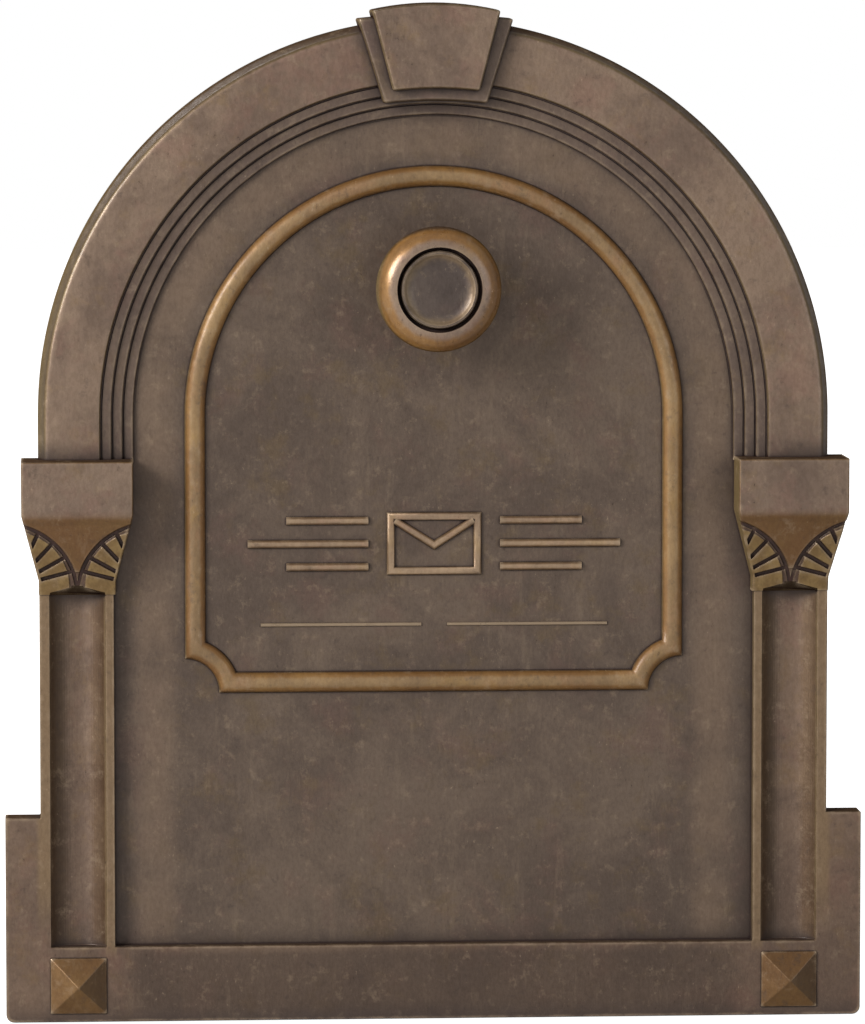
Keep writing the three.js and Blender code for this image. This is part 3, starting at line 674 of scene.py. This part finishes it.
def door_base():
    """The foot band, end blocks and columns: one plate with a concave flute cut down each column."""
    piece = cast("door_base", slab(base_outline(), BACK, BASE_FRONT), BASE_LOOK)
    for side in (-1, 1):
        cutter = flute_cutter(side)
        cut = piece.modifiers.new("flute", "BOOLEAN")
        cut.operation = "DIFFERENCE"
        cut.solver = "EXACT"
        cut.object = cutter
        bpy.context.view_layer.update()
        apply_modifiers(piece)
        bpy.data.objects.remove(cutter)
    return bevel(piece, 0.7, 4, 32)


def side_skirt(side):
    """The thin wall behind a column that hides the gap to the wall frame."""
    deep, lip = BACK - 1.0, SKIRT_BACK - 0.4
    profile = [(SKIRT_INNER, deep), (SKIRT_INNER, lip), (120.2, SKIRT_BACK)]
    profile += [(122.2, SKIRT_BACK), (122.55, lip), (122.55, deep)]
    foot, steps = 20.0, 12
    rings = []
    for i in range(steps + 1):
        z = foot + (CAPITAL_TOP - foot) * i / steps
        rings.append([(side * x, y, z) for x, y in profile])
    return cast(f"door_skirt_{hand(side)}", skin(rings), BACK_LOOK, 30)


def pyramid(side):
    """A low four-sided stud on the foot band, with a thin upright edge."""
    half, rise, lip = 8.75, 5.1, 0.5
    x, z = side * 111.0, 11.4
    corners = [(-1, -1), (1, -1), (1, 1), (-1, 1)]
    rings = []
    for size, y in ((1.0, 1.0), (1.0, -lip), (0.03, -rise)):
        rings.append([(x + i * half * size, BASE_FRONT + y, z + j * half * size) for i, j in corners])
    return bevel(cast(f"door_stud_{hand(side)}", skin(rings), STUD_LOOK, 20), 0.4, 3, 12)


def arched_trapezoid(top_half, bottom_half, corner_top, crown, corner_bottom, dip, steps=12):
    """A trapezoid wider at the top, with both ends bowed upwards."""
    across = [2 * i / steps - 1 for i in range(steps + 1)]
    points = [(bottom_half * t, corner_bottom + dip * (1 - t * t)) for t in across]
    return points + [(-top_half * t, corner_top + (crown - corner_top) * (1 - t * t)) for t in across]


def keystone():
    """The keystone block on its slightly larger backing plate, both with arched ends."""
    backing = arched_trapezoid(24.3, 16.2, 311.3, 312.6, 284.9, 0.8)
    face = arched_trapezoid(20.1, 13.65, 313.9, TOP - 0.02, 288.7, 0.7)
    pieces = []
    for name, outline, front in zip(("backing", "face"), (backing, face), KEYSTONE_FRONTS):
        bm = slab(outline, BACK - TUCK, front, taper=0.5)
        pieces.append(bevel(cast(f"door_keystone_{name}", bm, BAND_LOOK), 0.8, 4))
    return pieces


def capital_half(z):
    """Half the capital's width at a height: upright above, a straight taper below the bend."""
    taper = min(1.0, max(0.0, (z - TAPER_FOOT) / (CAPITAL_BEND - 0.3 - TAPER_FOOT)))
    return CAPITAL_NECK + (CAPITAL_HALF - CAPITAL_NECK) * taper


def fan_parts(u, z):
    """How far a point of the capital's lower half belongs to the V, to a rib, and to a cut (0 to 1)."""
    across = abs(u)
    ring = math.hypot(across - RING_CENTRE[0], z - RING_CENTRE[1]) - RING_RADIUS
    du, dz = FAN_CENTRE[0] - across, z - FAN_CENTRE[1]
    away, turn = math.hypot(du, dz), math.atan2(dz, du)
    vee = smooth_step(RING_CUT - SOFT, RING_CUT + SOFT, ring)
    vee *= smooth_step(V_TIP - SOFT, V_TIP + SOFT, z)
    rib = smooth_step(FAN_REACH + SOFT, FAN_REACH - SOFT, away)
    rib *= smooth_step(RING_CUT, RING_CUT + SOFT, -ring)
    spoke = 0.0
    for degrees in FAN_TURNS:
        aside = abs(away * math.sin(turn - math.radians(degrees)))
        spoke = max(spoke, smooth_step(FAN_CUT + SOFT, FAN_CUT - SOFT, aside))
    spoke *= smooth_step(0.7, 1.1, capital_half(z) - across)
    rib *= 1 - spoke
    return vee, rib, max(spoke, smooth_step(RING_CUT + SOFT, RING_CUT - SOFT, abs(ring)))


def capital_face(u, z):
    """Depth at u (distance from the centreline) and height z on a capital's front."""
    below = min(1.0, max(0.0, (CAPITAL_BEND - z) / (CAPITAL_BEND - CAPITAL_FOOT)))
    sweep = SWEEP_DEPTH * (1.25 * below - 0.25 * below ** 2) * smooth_step(-0.04, 0.14, below)
    y = CAPITAL_FRONT + sweep
    if not below:
        return y
    vee, rib, cut = fan_parts(u, z)
    return y + 0.3 * rib + (1 - vee - rib) * (0.8 + 0.5 * cut)


def capital_foot(u):
    """Height of the capital's lower edge: two rising arms over the flute, level over the strips."""
    across, tip, fall = abs(u), 1.8, 1.8
    if across > FLUTE_HALF:
        return CAPITAL_FOOT
    if across < tip:
        return CAPITAL_FOOT + 2.9
    return CAPITAL_FOOT + 2.5 - fall * (across - tip) / (FLUTE_HALF - tip)


def store_zones(piece, side):
    """Colour amounts at every vertex: red for the V, green for the ribs, blue for the cuts and the recesses
    between the ribs, darkened as patina with painted shade.
    """
    stored = piece.data.attributes.new("zones", "FLOAT_COLOR", "POINT")
    for vertex, entry in zip(piece.data.vertices, stored.data):
        u, z = vertex.co.x * 1000 - side * COLUMN_X, vertex.co.z * 1000 - FOOT
        vee, rib, cut = fan_parts(u, z) if z < CAPITAL_BEND - 1 else (1.0, 0.0, 0.0)
        ochre = vee * smooth_step(CAPITAL_BEND + 1.2, CAPITAL_BEND - 2.6, z)
        entry.color = (ochre, rib, (1 - vee - rib) * (0.55 + 0.4 * cut), 1.0)


def capital_rows(arris, step, block_steps=14, arris_steps=5):
    """(drop, height) for every row of a capital; drop is how far the rounded top edge falls back."""
    below = round((CAPITAL_BEND - CAPITAL_FOOT) / step)
    heights = [CAPITAL_FOOT + step * i for i in range(below + 1)]
    low, high = CAPITAL_BEND + 0.2, CAPITAL_TOP - arris
    heights += [low + (high - low) * i / block_steps for i in range(block_steps + 1)]
    rows = [(0.0, z) for z in heights]
    for i in range(1, arris_steps + 1):
        a = math.pi / 2 * i / arris_steps
        rows.append((arris * (1 - math.cos(a)), high + arris * math.sin(a)))
    return rows


def capital(side):
    """A capital: a plain block over a swept V between two fans of ribs, as one finely gridded face."""
    columns, arris, arms = 200, 0.6, 9
    rings = []
    for drop, row in capital_rows(arris, 0.16):
        squeeze = max(0.0, 1 - (row - CAPITAL_FOOT) / arms)
        half = capital_half(row)
        ring = [(side * COLUMN_X - half, BACK - TUCK, row)]
        for j in range(columns + 1):
            u = half * (2 * j / columns - 1)
            z = row + (capital_foot(u) - CAPITAL_FOOT) * squeeze
            over = max(0.0, abs(u) - (half - arris))
            rim = max(drop, arris - math.sqrt(max(0.0, arris ** 2 - over ** 2)))
            ring.append((side * COLUMN_X + u, capital_face(u, z) + rim, z))
        ring.append((side * COLUMN_X + half, BACK - TUCK, row))
        rings.append(ring)
    piece = cast(f"door_capital_{hand(side)}", skin(rings), CAPITAL_LOOK, 50)
    store_zones(piece, side)
    return piece


def door_back():
    """The door's flat back face inside the skirt, a hair in front of the other pieces' backs."""
    bm = slab(arch_outline(121.0, 23.2), BACK + 0.03, BACK - 2.5)
    return cast("door_back", bm, BACK_LOOK)


def stroke(points, width, rise, closed=False):
    """A raised rounded line on the field through (x, z) points."""
    count = len(points)
    sections = []
    for i, (x, z) in enumerate(points):
        before = points[i - 1] if (i or closed) else points[i]
        after = points[(i + 1) % count] if (i < count - 1 or closed) else points[i]
        into = Vector((x - before[0], z - before[1]))
        out = Vector((after[0] - x, after[1] - z))
        into = into.normalized() if into.length else out.normalized()
        out = out.normalized() if out.length else into
        along = (into + out).normalized()
        across = Vector((-along.y, along.x)) / max(0.4, along.dot(out))
        ring = []
        for k in range(9):
            a = math.pi * k / 8
            side = width / 2 * math.cos(a)
            ring.append((x + across.x * side, FIELD - rise * math.sin(a) ** 0.7, z + across.y * side))
        ring.append((x - across.x * width * 0.4, FIELD + 0.8, z - across.y * width * 0.4))
        ring.append((x + across.x * width * 0.4, FIELD + 0.8, z + across.y * width * 0.4))
        sections.append(ring)
    return skin(sections, close_loop=closed)


def ornament():
    """A plain envelope between two sets of bars, over two thin rules."""
    low, high, half = BADGE_LOW, BADGE_HIGH, BADGE_HALF
    middle = (low + high) / 2
    flap = [(-half + 1.2, high - 1.2), (0, middle - 0.5), (half - 1.2, high - 1.2)]
    lines = [("badge_envelope", [(-half, low), (half, low), (half, high), (-half, high)], True)]
    lines.append(("badge_flap", flap, False))
    for side in (-1, 1):
        for i, reach in enumerate(BAR_ENDS):
            z = low + 1.3 + (high - low - 2.6) * i / 2
            bar = [(side * BAR_START, z), (side * reach, z)]
            lines.append((f"badge_bar_{hand(side)}_{i + 1}", bar, False))
    pieces = []
    for name, points, closed in lines:
        pieces.append(cast(name, stroke(points, 2.6, 1.3, closed), BADGE_LOOK, 50))
    for side, width in ((-1, 1.2), (1, 1.1)):
        start, end = sorted((side * RULE_START, side * RULE_END))
        rule = stroke([(start, RULE_Z), (end, RULE_Z)], width, 0.5)
        pieces.append(cast(f"badge_rule_{hand(side)}", rule, FIELD_LOOK, 50))
    return pieces


def turned(name, profile, centre_z, material, steps=96):
    """Turned about a line along Y; profile is (radius, y) from the front centre to the back centre."""
    bm = bmesh.new()
    rows = []
    for radius, y in profile:
        if radius == 0:
            rows.append([bm.verts.new(metres((0, y, centre_z)))])
            continue
        ring = []
        for i in range(steps):
            a = 2 * math.pi * i / steps
            ring.append(bm.verts.new(metres((radius * math.cos(a), y, centre_z + radius * math.sin(a)))))
        rows.append(ring)
    for here, after in zip(rows, rows[1:]):
        for j in range(steps):
            k = (j + 1) % steps
            if len(here) == 1:
                bm.faces.new((here[0], after[j], after[k]))
            elif len(after) == 1:
                bm.faces.new((here[j], here[k], after[0]))
            else:
                bm.faces.new((here[j], here[k], after[k], after[j]))
    return finish_mesh(name, bm, material, "door", 40)


def door_knob():
    """The pull knob: a fat rolled rim, a groove and a dished disc, on a waisted neck."""
    low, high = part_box("knob")
    front = low.y * 1000
    rim = (high.x - low.x) / 2 * 1000
    z = (low.z + high.z) / 2 * 1000 - FOOT
    roll = 6.4
    profile = [(0, front + 5.6), (12.1, front + 5.6), (12.2, front + 3.6), (12.7, front + 3.4)]
    profile += [(13.0, front + 3.1), (13.15, front + 1.4)]
    profile += arc(rim - roll, front + roll, roll, 272, 380, 20)
    profile += [(rim - 1.6, front + 10.6), (13.0, front + 14.5), (9.4, front + 17.5), (7.9, front + 21)]
    profile += [(7.9, front + 24), (8.8, front + 26.4), (10.2, front + 27.6)]
    profile += [(10.4, FIELD - 0.35), (0, FIELD - 0.35)]
    outer = turned("knob_rim", profile, z, KNOB_LOOK)
    dish = [(0, front + 3.0), (4, front + 2.95), (7.6, front + 2.6), (9.7, front + 2.3), (10.4, front + 1.7)]
    dish += [(11.0, front + 1.25), (11.6, front + 1.3), (11.95, front + 1.7), (12.05, front + 2.6)]
    dish += [(12.05, front + 5.3), (0, front + 5.3)]
    disc = turned("knob_disc", dish, z, DISC_LOOK)
    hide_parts("knob")
    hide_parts("knob")


def build_door():
    """All the pieces that stand for the door casting and the knob."""
    pieces = [arch_moulding(), door_field(), door_bead(), door_base(), door_back()]
    for side in (-1, 1):
        pieces += [side_skirt(side), pyramid(side), capital(side)]
    pieces += keystone() + ornament()
    for piece in pieces:
        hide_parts("door_casting")
    door_knob()


# CAD nodes that keep their own shape
def paint_nodes():
    """Gives each CAD node whose material slot is listed below the look of that slot."""
    looks = {
        "coated_frame": coated("powder_coat_frame", (46, 41, 37), (92, 82, 70)),
        "coated_sheet": coated("powder_coat_sheet", (50, 46, 43), (98, 92, 84)),
        "rubber_trim": moulded("edge_rubber", (26, 26, 26), 0.72),
        "stainless": steel("stainless_hinge", (176, 173, 166), (1, 12, 12)),
        "stainless_fixings": steel("stainless_screws", (186, 184, 178), rough=0.26),
        "zinc_plate": steel("zinc_plated", (168, 170, 160), rough=0.38, stain=(150, 138, 104)),
        "ferrite": moulded("ferrite_magnet", (44, 44, 47), 0.55, metal=0.2),
        "black_nylon": moulded("black_nylon", (30, 30, 31), 0.5),
        "grey_nylon": moulded("grey_nylon", (158, 158, 152), 0.55),
    }
    for row in frame["record"]["subparts"]:
        node = frame["nodes"][row["node"]]
        look = looks.get(row["material_slot"])
        if look is None:
            continue
        node.data.materials.clear()
        node.data.materials.append(look)


# Stage, light and camera
def area_light(name, place, aim, size, power):
    """A round soft lamp at a place, turned to the aim; lengths in metres."""
    data = bpy.data.lights.new(name, "AREA")
    data.shape = "DISK"
    data.size = size
    data.energy = power
    lamp = bpy.data.objects.new(name, data)
    lamp.location = place
    lamp.rotation_mode = "QUATERNION"
    lamp.rotation_quaternion = (Vector(aim) - Vector(place)).to_track_quat("-Z", "Y")
    bpy.context.scene.collection.objects.link(lamp)


def build_floor():
    """A wide pale floor just under the mailbox, plain white to the camera."""
    bm = bmesh.new()
    bmesh.ops.create_grid(bm, x_segments=1, y_segments=1, size=6.0)
    mesh = bpy.data.meshes.new("floor")
    bm.to_mesh(mesh)
    bm.free()
    floor = bpy.data.objects.new("floor", mesh)
    floor.location = (0, 0, CAD_BOX[0].z - 0.0005)
    bpy.context.scene.collection.objects.link(floor)
    look = bpy.data.materials.new("floor_pale")
    look.use_nodes = True
    shader = look.node_tree.nodes["Principled BSDF"]
    shader.inputs["Base Color"].default_value = (0.6, 0.59, 0.58, 1)
    shader.inputs["Roughness"].default_value = 0.9
    shader.inputs["Emission Color"].default_value = (1, 1, 1, 1)
    seen = look.node_tree.nodes.new("ShaderNodeLightPath")
    look.node_tree.links.new(seen.outputs["Is Camera Ray"], shader.inputs["Emission Strength"])
    mesh.materials.append(look)


def build_world():
    """Even soft light from all round, plain white to the camera."""
    world = bpy.data.worlds.new("studio")
    bpy.context.scene.world = world
    world.use_nodes = True
    tree = world.node_tree
    background = tree.nodes["Background"]
    path = tree.nodes.new("ShaderNodeLightPath")
    strength = tree.nodes.new("ShaderNodeMapRange")
    strength.inputs["To Min"].default_value = 0.4
    strength.inputs["To Max"].default_value = 1.0
    tree.links.new(path.outputs["Is Camera Ray"], strength.inputs["Value"])
    tree.links.new(strength.outputs["Result"], background.inputs["Strength"])
    background.inputs["Color"].default_value = (1, 1, 1, 1)


def build_lights():
    """A key from the upper left, a weak fill from the right, and one lamp behind for the tunnel."""
    low, high = CAD_BOX
    middle = (low + high) / 2
    aim = (middle.x, low.y, middle.z)
    area_light("key", (-1.5, -1.3, 0.9), aim, 0.85, 36)
    area_light("fill", (1.6, -1.9, 0.3), aim, 1.6, 8)
    area_light("back_fill", (-0.8, 2.2, 1.4), (0, 0.2, 0.1), 1.6, 30)


def build_camera():
    """A long lens, a little to the left and above, filling the frame with the door."""
    azimuth, elevation, distance = -3.6, 4.8, 1.85
    aside, above, margin = -0.0008, 0.0006, 1.004
    low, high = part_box("door_casting")
    aim = Vector((aside, BASE_FRONT / 1000, (low.z + high.z) / 2 + above))
    a, e = math.radians(azimuth), math.radians(elevation)
    back = Vector((math.sin(a) * math.cos(e), -math.cos(a) * math.cos(e), math.sin(e)))
    data = bpy.data.cameras.new("camera")
    camera = bpy.data.objects.new("camera", data)
    bpy.context.scene.collection.objects.link(camera)
    camera.location = aim + back * distance
    camera.rotation_mode = "QUATERNION"
    camera.rotation_quaternion = (-back).to_track_quat("-Z", "Y")
    data.sensor_width = 36
    framed = (high.z - low.z) * margin
    data.lens = data.sensor_width * distance / framed
    data.clip_start, data.clip_end = 0.05, 50
    bpy.context.scene.camera = camera


bpy.context.scene.view_settings.view_transform = "Standard"
build_camera()
build_floor()
build_world()
build_lights()
build_door()
paint_nodes()
